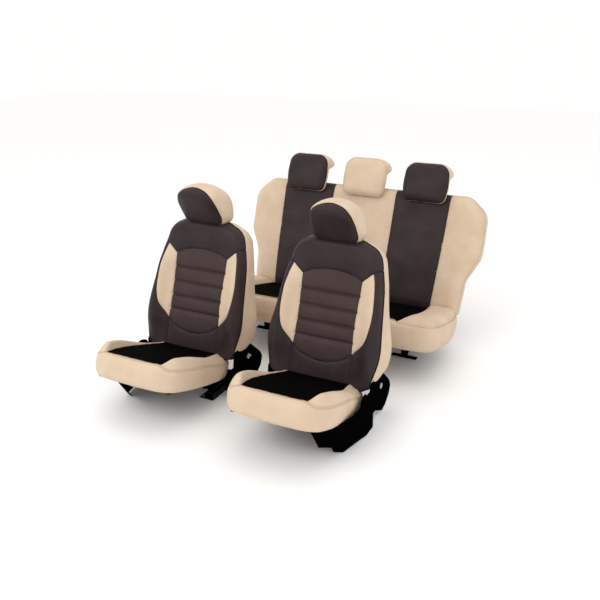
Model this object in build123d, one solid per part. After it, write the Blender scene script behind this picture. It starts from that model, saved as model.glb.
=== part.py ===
"""Seat cover set for a five-seat cab: covers fitted on two front seats and a three-place bench.

Frame: millimetres, +Z up, the seats face -Y, origin on the floor under the middle of the set.
Every front seat is built in a seat frame (origin on the floor under the line where the front
face of its backrest starts) and moved to its place. Backrests and cushions are built in tilted
frames: x across, y to the rear (depth), z up along the backrest or out of the cushion.
"""
import os
from math import cos, radians, sin, tan

from build123d import *

# ---- layout of the set ----
PAIR_X = -84.0            # middle of the two front seats, measured from the bench's middle
SEAT_HALF_SPACING = 351.0
FRONT_Y = -416.4          # backrest line of the front seats
BENCH_Y = FRONT_Y + 978.0

COVER = 2.0               # thickness of the cover material
GAP = 0.5                 # clearance between pieces that move past each other
STEEL = 3.0               # sheet steel of pans and brackets
PLATE = 4.0               # thicker plate of the hinge brackets
ARM = 6.0                 # and of the arms that turn on them
WELD = 1.0                # how far welded pieces run into each other
THROUGH = 5.0             # how far a cutting tool passes a face

# ---- front backrest ----
BACK_Z = 234.0
BACK_TILT = 17.35
BACK_LOW = -12.0
BACK_TOP = 604.0
BACK_DEPTH = 146.0
BACK_OUTLINE = [(242, BACK_LOW), (272, 130), (240, 420), (206, 566), (118, BACK_TOP)]
BACK_ROUNDING = [14, 700, 900, 90, 60]
BACK_EDGE_R = 30.0
BACK_HEM = (200.0, 30.0, 100.0)      # opening below: half width, and its front and rear

# ---- front cushion ----
CUSHION_Z = 203.0         # height of the cushion's top plane at the backrest line
CUSHION_TILT = 17.0
CUSHION_FRONT = -502.0
CUSHION_REAR = 42.0
CUSHION_HALF = 256.0
CUSHION_REAR_HALF = 232.0
CUSHION_THICK = 126.0
CUSHION_TAPER = 12.0
CUSHION_CORNER_R = 110.0
CUSHION_EDGE_R = 26.0
CUSHION_BOW = 14.0        # how far the middle of a cushion's front stands ahead of its corners
CUSHION_BOW_R = 2000.0
CUSHION_WAIST = -90.0     # from here to the rear a cushion narrows
CUSHION_WAIST_R = 120.0
CUSHION_REAR_R = 40.0
HEM = 75.0                # width of a cushion cover's hem underneath, at the front and sides
HEM_REAR = 60.0

# ---- seat frame and recliner, seen from the side (y, z in the seat frame) ----
PIVOT_Y = 115.0
PIVOT_Z = 160.0
PLATE_X = 254.0           # inner face of the recliner plates
PLATE_OUTLINE = [
    (-88, 58), (20, 58), (58, 60), (150, 12), (196, 24), (240, 56), (258, 100), (238, 134),
    (124, 232), (20, 238), (-14, 206), (-20, 150), (-88, 96),
]
PLATE_ROUNDING = [10, 40, 20, 16, 24, 24, 24, 24, 20, 16, 16, 40, 20]
PLATE_HOLE = (30.0, -11.0, 7.0)      # from the pivot to a hole's middle, and its radius
CROSS_TUBES = ((-40.0, 70.0), (62.0, 78.0))
CROSS_TUBE_R = 11.0
PIN_R = 9.0
PIN_FIT = 0.05
PIN_REACH = 12.0          # length of a pin inside its plate
PIN_HEAD_R = 14.0
PIN_HEAD = 4.0
ARM_X = PLATE_X - 8.0
ARM_EYE_R = 24.0
ARM_BLADE = [(50, 150), (86, 150), (90, 30), (146, -30), (112, -56), (52, 20)]    # depth and height
PAN_HALF = 196.0
PAN_MARGIN = 70.0         # from the cushion's ends to the pan's
PAN_OPENING = (120.0, -330.0, -150.0)    # half width, and its front and rear
SIDE_HALF = 4.0           # half the thickness of the seat frame's side plates
SIDE_SETBACK = 10.0       # from the upper rail's ends to a side plate's foot
SIDE_REACH = 60.0         # how far a side plate's top stands ahead of its foot
SIDE_REAR = -60.0         # where it leaves the pan
SIDE_NOSE = 34.0
SIDE_TAIL = 30.0
SIDE_TAIL_HIGH = 10.0

# ---- slide rails ----
RAIL_X = 165.0
RAIL_WIDTH = 46.0
RAIL_HEIGHT = 34.0
RAIL_WALL = 2.5
LOWER_RAIL = (-110.0, 200.0)
UPPER_RAIL = (-100.0, 190.0)
UPPER_TOP = 50.0
FOOT_LENGTH = 44.0
FOOT_REACH = 34.0         # how far a foot stands out beside its rail
FOOT_HOLE_R = 5.25

# ---- side shield of the seat base ----
SHIELD_X = PLATE_X + 11.0
SHIELD_WALL = 3.0
SHIELD_LOW = 5.0
SHIELD_HIGH = 215.0
SHIELD_CORNER_X = 228.0   # its front corner
SHIELD_CORNER_Y = -240.0
SHIELD_LEAN = -0.66       # the corner's way forward for each millimetre up
SHIELD_CHAMFER = 170.0    # from the corner to where the wall runs straight
SHIELD_SKEW = 42.0        # how far its inner end stands ahead of the corner
SHIELD_OUTLINE = [
    (-440, SHIELD_LOW), (8, SHIELD_LOW), (0, 150), (-14, 198),
    (-60, 212), (-104, 202), (-130, 178), (-440, 178),
]
SHIELD_ROUNDING = [4, 5, 40, 30, 40, 40, 20, 4]
SHIELD_CLIPS = ((-62.0, 110.0), (-70.0, 80.0), (-10.0, 90.0))
SHIELD_CLIP_R = 6.0
RAIL_CLEARANCE = 8.0      # over the rail that it passes

# ---- straps under the cushions ----
STRAP_WIDTH = 24.0
STRAP_THICK = 2.0
STRAP_HOOK = 12.0
STRAP_HOOK_WIDTH = 10.0

# ---- zips of the backrest covers ----
ZIP_WIDTH = 26.0
ZIP_SLIDER = (12.0, 10.0, 4.0)       # its length, width and height
ZIP_SLIDER_END = 18.0                # from the tape's end

# ---- tubular frames of the backrests ----
FRAME_TUBE_R = 12.0
FRAME_BEND = 60.0
FRAME_SHOULDER = 150.0    # height over which a frame narrows
FRAME_ROD_UP = 40.0       # from a frame's lower ends to the rod between its arms
FRAME_ROD_R = 10.0
FRAME_FOOT = 10.0
SOCKET_HALF = 24.0        # half the height of the sockets for the headrest posts
SOCKET_WALL = 3.0

# ---- headrests ----
HEAD_SPACING = 70.0       # half the distance between the two posts
POST_R = 6.0
POST_FIT = 0.1
POST_BEND = 20.0
POST_ROOM = 2.0           # clearance round the posts inside the foam
SLEEVE_R = 9.0
SLEEVE_DROP = 30.0        # how far a guide sleeve reaches below the frame's top tube
COLLAR = 5.0              # width and height of its collar
HEAD_TRAVEL = 60.0
FRONT_HEAD_LOW = 596.0
FRONT_HEAD_TOP = 780.0
FRONT_HEAD_OUTLINE = [(100, FRONT_HEAD_LOW), (120, 670), (98, FRONT_HEAD_TOP)]
FRONT_HEAD_ROUNDING = [24, 60, 60]
FRONT_HEAD_REST = BACK_TOP + COLLAR + 2.0      # height of its underside over the collars
FRONT_HEAD_PROFILE = [
    (-6, FRONT_HEAD_REST), (-24, 600), (-64, 618), (-112, 668), (-140, 730),
    (-90, FRONT_HEAD_TOP), (20, 776), (76, 710), (78, FRONT_HEAD_REST),
]
FRONT_HEAD_PROFILE_ROUNDING = [4, 10, 50, 60, 24, 60, 60, 50, 12]
FRONT_POST_TOP = 718.0
FRONT_FRAME_HALF = (196.0, 120.0)    # below and above the shoulder
FRONT_TUBE_TOP = BACK_TOP - 84.0
POST_DEPTH = 62.0         # depth of the posts in the backrest
POST_TAIL = 430.0         # lower end of the posts, along the backrest

# ---- bench ----
BENCH_Z = 216.0
BENCH_TILT = 20.2
BENCH_LOW = -10.0
BENCH_TOP = 648.0
BENCH_DEPTH = 118.0
BENCH_OUTLINE = [(636, BENCH_LOW), (650, 190), (714, 330), (712, 560), (612, BENCH_TOP)]
BENCH_ROUNDING = [14, 120, 120, 90, 70]
BENCH_CUSHION_Z = 226.0
BENCH_CUSHION_TILT = 12.0
BENCH_CUSHION_FRONT = -512.0
BENCH_CUSHION_REAR = -8.0
BENCH_CUSHION_HALF = 640.0
BENCH_CUSHION_THICK = 140.0
BENCH_CUSHION_TAPER = 9.0
BENCH_CUSHION_CORNER_R = 70.0
BENCH_CUSHION_NARROWING = 24.0
BENCH_PAN = (560.0, 90.0, 20.0)      # half width, and distances from the cushion's front and rear
BENCH_PIVOT_DEPTH = 60.0  # the bench's hinge, inside the lower end of the backrest
BENCH_PIVOT_UP = 30.0
BENCH_PLATE_X = 560.0
BENCH_ARM_X = BENCH_PLATE_X - 9.0
BENCH_ARM_EYE_R = 20.0
BENCH_ARM_BLADE = (31.0, 75.0, 150.0)    # front, rear and top
BENCH_HINGE_HALF = 18.0   # half the depth of a hinge bracket
BENCH_HINGE_ROOM = (12.0, 6.0, 100.0, 62.0)    # half width, front, rear and top of the slot round a hinge
BENCH_FRAME_HALF = (510.0, 500.0)
BENCH_FRAME_FOOT = 20.0
BENCH_TUBE_TOP = BENCH_TOP - 80.0
BENCH_EDGE_R = 26.0
BENCH_HEM = (500.0, 30.0, 90.0)
BENCH_HEAD_X = 367.0
BENCH_HEAD_HALF = 122.0
BENCH_HEAD_LOW = 606.0
BENCH_HEAD_PROFILE = [
    (-56, 604), (-64, 720), (-50, 816), (84, 806), (96, 760), (20, 724), (-6, 690), (-6, 606),
]
BENCH_HEAD_ROUNDING = [18, 200, 40, 22, 16, 60, 40, 4]
BENCH_POST_DEPTH = 45.0
BENCH_POST_TAIL = 470.0
BENCH_POST_TOP = 780.0
BENCH_LEG_X = 430.0
BENCH_LEG_Y = (-205.0, 205.0)
BENCH_MIDDLE_LEG_Y = -40.0
BENCH_TUBE_Z = (20.0, 44.0)
BENCH_TUBE = 30.0
BENCH_FOOT = 70.0         # half the length of a foot
BENCH_FOOT_THICK = 5.0
BENCH_HOLE_X = 49.0

PARTS = "parts"


def save(shape, name):
    export_step(shape, f"{PARTS}/{name}.step")


def tilted(y, z, tilt):
    """Place of a frame that leans back by tilt degrees at (y, z)."""
    return Pos(0, y, z) * Rot(-tilt, 0, 0)


def box(x, y, z):
    """Box between two values on each axis."""
    size = [abs(b - a) for a, b in (x, y, z)]
    centre = [(a + b) / 2 for a, b in (x, y, z)]
    return Pos(*centre) * Box(*size)


def rod_x(x, y, z, radius):
    """Round bar along X between two values of x."""
    return Pos((x[0] + x[1]) / 2, y, z) * Rot(0, 90, 0) * Cylinder(radius, abs(x[1] - x[0]))


def rod_z(x, y, z, radius):
    """Round bar along Z between two values of z."""
    return Pos(x, y, (z[0] + z[1]) / 2) * Cylinder(radius, abs(z[1] - z[0]))


def mirrored_outline(points, rounding):
    """Closed outline with rounded corners, from its right half and that half's mirror image."""
    left = [(-x, y) for x, y in reversed(points)]
    return make_face(FilletPolyline(*points, *left, close=True, radius=[*rounding, *reversed(rounding)]))


def pair(shape):
    """The shape and its mirror across the seat's middle."""
    return Compound([shape, mirror(shape, Plane.YZ)])


# ---- soft blocks: the outer shape of a cover, or of the foam inside it when inset > 0 ----

def back_block(points, rounding, depth, inset, edge):
    """Backrest block: its outline in the plane of the backrest, as deep as the backrest."""
    outline = mirrored_outline(points, rounding)
    if inset:
        outline = offset(outline, -inset)
    slab = extrude(Plane.XZ * outline, amount=-(depth - 2 * inset))
    slab = Pos(0, inset, 0) * slab
    front = slab.edges().group_by(Axis.Y)[0]
    rear = slab.edges().group_by(Axis.Y)[-1]
    return fillet(front + rear, edge - inset)


def cushion_block(front, rear, half, rear_half, thick, taper, inset, corner):
    """Cushion block: rounded trapezoid in plan whose sides lean in towards the bottom."""
    right = [
        (half - inset, front + inset + CUSHION_BOW),
        (half - inset, CUSHION_WAIST),
        (rear_half - inset, rear - inset),
    ]
    rounding = [corner, CUSHION_WAIST_R, CUSHION_REAR_R - inset]
    left = [(-x, y) for x, y in reversed(right)]
    plan = FilletPolyline(
        (0, front + inset), *right, *left, close=True, radius=[CUSHION_BOW_R, *rounding, *reversed(rounding)],
    )
    slab = extrude(make_face(plan), amount=-(thick - 2 * inset), taper=taper)
    slab = Pos(0, 0, -inset) * slab
    top = slab.edges().group_by(Axis.Z)[-1]
    bottom = slab.edges().group_by(Axis.Z)[0]
    return fillet(top + bottom, CUSHION_EDGE_R - 0.75 * inset)


def cushion_cover(outer, foam, half, front, rear, thick):
    """Fitted cushion cover: a skin with a hemmed opening underneath."""
    across = (HEM - half, half - HEM)
    opening = box(across, (front + HEM, rear - HEM_REAR), (-thick - THROUGH, -thick + 2 * THROUGH))
    return outer - foam - opening


# ---- pieces that the front seats and the bench share ----

def hinge_pins(plate_x, y, z):
    """Two headed pins, each through a hinge bracket whose inner face is at plate_x."""
    shank = rod_x((plate_x - PIN_REACH, plate_x + PLATE), y, z, PIN_R)
    head = rod_x((plate_x + PLATE, plate_x + PLATE + PIN_HEAD), y, z, PIN_HEAD_R)
    return pair(shank + head)


def straps(place, xs, front, rear, thick):
    """Elastic straps with wire hooks under a pan, which pull the cushion's cover tight."""
    top = -thick - GAP - STEEL - WELD
    pieces = []
    for x in xs:
        half = STRAP_WIDTH / 2
        pieces.append(place * box((x - half, x + half), (front, rear), (top - STRAP_THICK, top)))
        half = STRAP_HOOK_WIDTH / 2
        for ends in ((front - STRAP_HOOK, front), (rear, rear + STRAP_HOOK)):
            pieces.append(place * box((x - half, x + half), ends, (top - STEEL, top)))
    return Compound(pieces)


# ---- front seat ----

def front_back_place():
    return tilted(0, BACK_Z, BACK_TILT)


def front_cushion_place():
    return tilted(0, CUSHION_Z, CUSHION_TILT)


def front_cushion(inset):
    return cushion_block(
        CUSHION_FRONT, CUSHION_REAR, CUSHION_HALF, CUSHION_REAR_HALF,
        CUSHION_THICK, CUSHION_TAPER, inset, CUSHION_CORNER_R,
    )


def lower_rails():
    """Two floor rails: a U channel with lips that turn in, and a drilled foot at each end."""
    half = RAIL_WIDTH / 2
    channel = box((-half, half), LOWER_RAIL, (0, RAIL_HEIGHT))
    channel -= box((-half + RAIL_WALL, half - RAIL_WALL), LOWER_RAIL, (RAIL_WALL, RAIL_HEIGHT - RAIL_WALL))
    channel -= box((-half / 2, half / 2), LOWER_RAIL, (RAIL_WALL, RAIL_HEIGHT))
    front, rear = LOWER_RAIL
    for ends in ((front, front + FOOT_LENGTH), (rear - FOOT_LENGTH, rear)):
        foot = box((-half - FOOT_REACH, -half + WELD), ends, (0, RAIL_WALL))
        channel += foot - rod_z(-half - FOOT_REACH / 2, sum(ends) / 2, (-THROUGH, RAIL_HEIGHT), FOOT_HOLE_R)
    return pair(Pos(RAIL_X, 0, 0) * channel)


def upper_rails():
    """Two moving rails: a foot captured under the lips and a web that carries the seat frame."""
    inner = RAIL_WIDTH / 2 - RAIL_WALL - GAP
    neck = RAIL_WIDTH / 4 - GAP
    rail = box((-inner, inner), UPPER_RAIL, (RAIL_WALL + GAP, RAIL_HEIGHT - RAIL_WALL - GAP))
    rail -= box((-inner + RAIL_WALL, inner - RAIL_WALL), UPPER_RAIL, (0, RAIL_HEIGHT - 2 * RAIL_WALL - GAP))
    rail += box((-neck, neck), UPPER_RAIL, (RAIL_HEIGHT - 2 * RAIL_WALL - GAP, UPPER_TOP))
    return pair(Pos(RAIL_X, 0, 0) * rail)


def frame_side(x):
    """One side of the seat frame: a plate from the rail to the cushion pan, as thick as x is wide."""
    drop = (CUSHION_THICK + GAP + STEEL / 2) / cos(radians(CUSHION_TILT))
    slope = tan(radians(CUSHION_TILT))
    front, rear = UPPER_RAIL[0] + SIDE_SETBACK, UPPER_RAIL[1] - SIDE_SETBACK
    nose = front - SIDE_REACH
    nose_top, rear_top = (CUSHION_Z - slope * y - drop for y in (nose, SIDE_REAR))
    outline = make_face(Polyline(
        (front, UPPER_TOP), (rear, UPPER_TOP), (rear, UPPER_TOP + SIDE_TAIL_HIGH),
        (SIDE_REAR + SIDE_TAIL, rear_top - SIDE_TAIL_HIGH), (SIDE_REAR, rear_top),
        (nose, nose_top), (nose, nose_top - SIDE_NOSE), close=True,
    ))
    return Pos(x[0], 0, 0) * extrude(Plane.YZ * outline, amount=x[1] - x[0])


def recliner_plate():
    """Recliner plate beside the backrest's lower end: a lobe round the pivot and a leg to the tubes."""
    profile = FilletPolyline(*PLATE_OUTLINE, close=True, radius=PLATE_ROUNDING)
    plate = Pos(PLATE_X, 0, 0) * extrude(Plane.YZ * make_face(profile), amount=PLATE)
    across = (PLATE_X - THROUGH, PLATE_X + PLATE + THROUGH)
    plate -= rod_x(across, PIVOT_Y, PIVOT_Z, PIN_R)
    return plate - rod_x(across, PIVOT_Y + PLATE_HOLE[0], PIVOT_Z + PLATE_HOLE[1], PLATE_HOLE[2])


def seat_frame():
    """Welded seat frame: pan, two sides, two cross tubes and the recliner plates at the tube ends."""
    low = -CUSHION_THICK - GAP
    ends = (CUSHION_FRONT + PAN_MARGIN, CUSHION_REAR - PAN_MARGIN)
    pan = box((-PAN_HALF, PAN_HALF), ends, (low - STEEL, low))
    half, *opening = PAN_OPENING
    pan -= box((-half, half), opening, (low - THROUGH, low + THROUGH))
    frame = front_cushion_place() * pan
    for x in (-RAIL_X, RAIL_X):
        frame += frame_side((x - SIDE_HALF, x + SIDE_HALF))
    for y, z in CROSS_TUBES:
        frame += rod_x((-PLATE_X - WELD, PLATE_X + WELD), y, z, CROSS_TUBE_R)
    frame += recliner_plate()
    frame += mirror(recliner_plate(), Plane.YZ)
    return frame


def shield_section(z):
    """Plan of the side shield's wall at height z: its front, its slanted corner and its side."""
    front = SHIELD_CORNER_Y + SHIELD_LEAN * (z - SHIELD_LOW)
    inner = RAIL_X - RAIL_WIDTH / 2
    side = SHIELD_X + SHIELD_WALL
    rear = SHIELD_OUTLINE[1][0] + THROUGH
    outside = [
        (inner, front - SHIELD_SKEW), (SHIELD_CORNER_X, front), (side, front + SHIELD_CHAMFER), (side, rear),
    ]
    inside = [
        (SHIELD_X, rear), (SHIELD_X, front + SHIELD_CHAMFER),
        (SHIELD_CORNER_X - SHIELD_WALL, front + SHIELD_WALL), (inner, front - SHIELD_SKEW + SHIELD_WALL),
    ]
    return Pos(0, 0, z) * make_face(Polyline(*outside, *inside, close=True))


def side_valance():
    """Side shield of the seat base: a moulded wall that turns in at the front, on three clips."""
    wall = loft([shield_section(SHIELD_LOW), shield_section(SHIELD_HIGH)], ruled=True)
    outline = FilletPolyline(*SHIELD_OUTLINE, close=True, radius=SHIELD_ROUNDING)
    wall &= Pos(THROUGH, 0, 0) * extrude(Plane.YZ * make_face(outline), amount=SHIELD_X + SHIELD_WALL)
    beside_rail = RAIL_X + RAIL_WIDTH / 2 + SHIELD_WALL
    wall -= box((0, beside_rail), (SHIELD_OUTLINE[0][0], 0), (0, RAIL_HEIGHT + RAIL_CLEARANCE))
    for y, z in SHIELD_CLIPS:
        wall += rod_x((PLATE_X + PLATE, SHIELD_X + WELD), y, z, SHIELD_CLIP_R)
    return wall


def recliner_arms():
    """Arms of the backrest frame: an eye on the pivot pin and a blade up beside the foam."""
    eye = rod_x((ARM_X, ARM_X + ARM), PIVOT_Y, PIVOT_Z, ARM_EYE_R)
    blade = extrude(Plane.YZ * make_face(Polyline(*ARM_BLADE, close=True)), amount=ARM)
    arm = eye + front_back_place() * Pos(ARM_X, 0, 0) * blade
    return pair(arm - rod_x((ARM_X - THROUGH, ARM_X + ARM + THROUGH), PIVOT_Y, PIVOT_Z, PIN_R + PIN_FIT))


def back_frame(half, low, top, depth, arm_x, sockets):
    """Tubular frame inside a backrest, with a rod to its arms and a welded socket for each post."""
    half_low, half_top = half
    shoulder = top - FRAME_SHOULDER
    path = FilletPolyline(
        (half_low, depth, low), (half_low, depth, shoulder), (half_top, depth, top),
        (-half_top, depth, top), (-half_low, depth, shoulder), (-half_low, depth, low),
        radius=FRAME_BEND,
    )
    start = Plane(path @ 0, z_dir=path % 0)
    tube = sweep(start * Circle(FRAME_TUBE_R), path)
    tube += rod_x((-arm_x, arm_x), depth, low + FRAME_ROD_UP, FRAME_ROD_R)
    for x in sockets:
        tube += rod_z(x, depth, (top - SOCKET_HALF, top + SOCKET_HALF), SLEEVE_R + SOCKET_WALL)
    for x in sockets:
        tube -= rod_z(x, depth, (top - 2 * SOCKET_HALF, top + 2 * SOCKET_HALF), SLEEVE_R)
    return tube


def sleeves(xs, depth, low, top):
    """Headrest guide sleeves: a collar on the cover and a bushing down into the frame's socket."""
    solids = []
    for x in xs:
        sleeve = rod_z(x, depth, (low, top), SLEEVE_R)
        sleeve += rod_z(x, depth, (top, top + COLLAR), SLEEVE_R + COLLAR)
        solids.append(sleeve - rod_z(x, depth, (low - THROUGH, top + COLLAR + THROUGH), POST_R + POST_FIT))
    return Compound(solids)


def post_cavity(xs, depth, low, top):
    """Room in a headrest's core for the upper part of its bent posts."""
    radius = POST_R + GAP
    cavity = rod_x(xs, depth, top, radius)
    for x in xs:
        inward = 1 if x < sum(xs) / 2 else -1
        across = sorted((x - inward * radius, x + inward * (POST_BEND + radius)))
        cavity += rod_z(x, depth, (low, top), radius)
        cavity += box(across, (depth - radius, depth + radius), (top - POST_BEND - radius, top + radius))
    return cavity


def posts(xs, depth, tail, top):
    """Headrest posts: a bar bent to a U, whose legs run down into the guide sleeves."""
    path = FilletPolyline(
        (xs[0], depth, tail), (xs[0], depth, top), (xs[1], depth, top), (xs[1], depth, tail),
        radius=POST_BEND,
    )
    start = Plane(path @ 0, z_dir=path % 0)
    return sweep(start * Circle(POST_R), path)


def front_head_block(inset):
    """Front headrest: its outline from the front cut to its side profile, which leans forward at the top."""
    outline = mirrored_outline(FRONT_HEAD_OUTLINE, FRONT_HEAD_ROUNDING)
    profile = make_face(FilletPolyline(*FRONT_HEAD_PROFILE, close=True, radius=FRONT_HEAD_PROFILE_ROUNDING))
    if inset:
        outline = offset(outline, -inset)
        profile = offset(profile, -inset)
    reach = FRONT_HEAD_TOP - FRONT_HEAD_LOW
    block = extrude(Plane.XZ * outline, amount=reach, both=True)
    return block & extrude(Plane.YZ * profile, amount=reach, both=True)


def zip_strip(half, depth, low):
    """Zip of a backrest cover: a tape across the lower back and its slider."""
    length, width, height = ZIP_SLIDER
    face = depth + COVER
    tape = box((-half, half), (depth + POST_FIT, face), (low, low + ZIP_WIDTH))
    end, middle = half - ZIP_SLIDER_END, low + ZIP_WIDTH / 2
    slider = box((end - length, end), (face, face + height), (middle - width / 2, middle + width / 2))
    return Compound([tape, slider])


def rods_z(xs, depth, z, radius):
    return Compound([rod_z(x, depth, z, radius) for x in xs])


def backrest(shape, inset):
    """A backrest's block from its outline, rounding, depth and edge radius."""
    outline, rounding, depth, edge = shape
    return back_block(outline, rounding, depth, inset, edge)


def front_seat(name, x, outer):
    """All pieces of one front seat; outer is +1 or -1, the side that carries the shield."""
    place = Pos(x, FRONT_Y, 0)
    back = front_back_place()
    cushion = front_cushion_place()

    def keep(shape, node):
        save(place * shape, f"{name}_{node}")

    shield = side_valance()
    keep(lower_rails(), "lower_rails")
    keep(upper_rails(), "upper_rails")
    keep(seat_frame(), "seat_frame")
    keep(hinge_pins(PLATE_X, PIVOT_Y, PIVOT_Z), "pivot_pins")
    keep(straps(cushion, (-80, 80), -408, -38, CUSHION_THICK), "cushion_straps")
    keep(shield if outer > 0 else mirror(shield, Plane.YZ), "side_valance")

    foam = front_cushion(COVER)
    cover = cushion_cover(front_cushion(0), foam, CUSHION_HALF, CUSHION_FRONT, CUSHION_REAR, CUSHION_THICK)
    keep(cushion * foam, "cushion_foam")
    keep(cushion * cover, "cushion_cover")

    post_xs = (-HEAD_SPACING, HEAD_SPACING)
    sleeve_low = FRONT_TUBE_TOP - SLEEVE_DROP
    frame = back_frame(FRONT_FRAME_HALF, FRAME_FOOT, FRONT_TUBE_TOP, POST_DEPTH, ARM_X, post_xs)
    guides = sleeves(post_xs, POST_DEPTH, sleeve_low, BACK_TOP)
    arms = recliner_arms()
    rods = posts(post_xs, POST_DEPTH, POST_TAIL, FRONT_POST_TOP)
    post_room = rods_z(post_xs, POST_DEPTH, (POST_TAIL - POST_BEND, BACK_TOP + POST_BEND), POST_R + POST_ROOM)
    guide_room = rods_z(post_xs, POST_DEPTH, (sleeve_low, BACK_TOP + POST_BEND), SLEEVE_R)
    shape = (BACK_OUTLINE, BACK_ROUNDING, BACK_DEPTH, BACK_EDGE_R)
    inner_back = backrest(shape, COVER)
    local_arms = back.inverse() * arms
    half, *hem = BACK_HEM
    back_cover = backrest(shape, 0) - inner_back - guide_room - local_arms - frame
    back_cover -= box((-half, half), hem, (BACK_LOW - THROUGH, BACK_LOW + COVER + WELD))
    back_foam = inner_back - frame - guide_room - post_room - local_arms
    keep(arms, "recliner_arms")
    keep(back * frame, "backrest_frame")
    keep(back * guides, "guide_sleeves")
    keep(back * back_foam, "backrest_foam")
    keep(back * back_cover, "backrest_cover")
    keep(back * zip_strip(150, BACK_DEPTH, 40), "backrest_zip")

    core = front_head_block(COVER)
    skin = front_head_block(0) - core
    cavity = post_cavity(post_xs, POST_DEPTH, FRONT_HEAD_LOW - THROUGH, FRONT_POST_TOP)
    keep(back * rods, "headrest_posts")
    keep(back * (core - cavity), "headrest_core")
    keep(back * (skin - cavity), "headrest_cover")


# ---- bench ----

def bench_head_block(inset):
    """Bench headrest: a pad in front of the backrest with a thick top that hooks over it."""
    profile = FilletPolyline(*BENCH_HEAD_PROFILE, close=True, radius=BENCH_HEAD_ROUNDING)
    face = make_face(profile)
    if inset:
        face = offset(face, -inset)
    half = BENCH_HEAD_HALF - inset
    block = Pos(-half, 0, 0) * extrude(Plane.YZ * face, amount=2 * half)
    return block


def bench_back_place():
    return tilted(0, BENCH_Z, BENCH_TILT)


def bench_pivot():
    """Height and depth of the bench's hinge, measured from the bench's backrest line."""
    point = bench_back_place() * Pos(0, BENCH_PIVOT_DEPTH, BENCH_PIVOT_UP)
    return point.position.Y, point.position.Z


def bench_base():
    """Bench base: a pan on legs and floor tubes, and the two hinge brackets behind the cushion."""
    low = -BENCH_CUSHION_THICK - GAP
    cosine = cos(radians(BENCH_CUSHION_TILT))
    slope = tan(radians(BENCH_CUSHION_TILT))
    pan_half, from_front, from_rear = BENCH_PAN
    ends = (BENCH_CUSHION_FRONT + from_front, BENCH_CUSHION_REAR - from_rear)
    pan = box((-pan_half, pan_half), ends, (low - STEEL, low))
    frame = tilted(0, BENCH_CUSHION_Z, BENCH_CUSHION_TILT) * pan
    half = BENCH_TUBE / 2
    front, rear = BENCH_LEG_Y
    for x in (-BENCH_LEG_X, BENCH_LEG_X):
        for y in (front, BENCH_MIDDLE_LEG_Y):
            under = BENCH_CUSHION_Z - slope * y + (low - STEEL / 2) / cosine
            frame += box((x - half, x + half), (y - half, y + half), (BENCH_TUBE_Z[0], under))
        frame += box((x - half, x + half), (front - half, rear + half), BENCH_TUBE_Z)
        for y in (front, rear):
            frame += box((x - half, x + half), (y - half, y + half), (0, BENCH_TUBE_Z[1]))
            frame += box((x - BENCH_FOOT, x + BENCH_FOOT), (y - half, y + half), (0, BENCH_FOOT_THICK))
            for hole_x in (x - BENCH_HOLE_X, x + BENCH_HOLE_X):
                frame -= rod_z(hole_x, y, (-THROUGH, BENCH_FOOT_THICK + THROUGH), FOOT_HOLE_R)
    pivot_y, pivot_z = bench_pivot()
    beam = BENCH_PLATE_X + PLATE
    depth = (pivot_y - BENCH_HINGE_HALF, pivot_y + BENCH_HINGE_HALF)
    frame += box((-beam, beam), depth, BENCH_TUBE_Z)
    for side in (-1, 1):
        x = sorted((side * BENCH_PLATE_X, side * beam))
        bracket = box(x, depth, (BENCH_TUBE_Z[0], pivot_z)) + rod_x(x, pivot_y, pivot_z, BENCH_HINGE_HALF)
        frame += bracket - rod_x((x[0] - THROUGH, x[1] + THROUGH), pivot_y, pivot_z, PIN_R)
    return frame


def bench_arms():
    """Arms of the bench's backrest frame: an eye on the hinge pin and a blade up to the frame."""
    across = (BENCH_ARM_X, BENCH_ARM_X + ARM)
    front, rear, top = BENCH_ARM_BLADE
    arm = rod_x(across, BENCH_PIVOT_DEPTH, BENCH_PIVOT_UP, BENCH_ARM_EYE_R)
    arm += box(across, (front, rear), (BENCH_PIVOT_UP, top))
    hole = rod_x(
        (across[0] - THROUGH, across[1] + THROUGH), BENCH_PIVOT_DEPTH, BENCH_PIVOT_UP, PIN_R + PIN_FIT,
    )
    return pair(arm - hole)


def bench_cushion(inset):
    rear_half = BENCH_CUSHION_HALF - BENCH_CUSHION_NARROWING
    return cushion_block(
        BENCH_CUSHION_FRONT, BENCH_CUSHION_REAR, BENCH_CUSHION_HALF, rear_half,
        BENCH_CUSHION_THICK, BENCH_CUSHION_TAPER, inset, BENCH_CUSHION_CORNER_R,
    )


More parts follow.
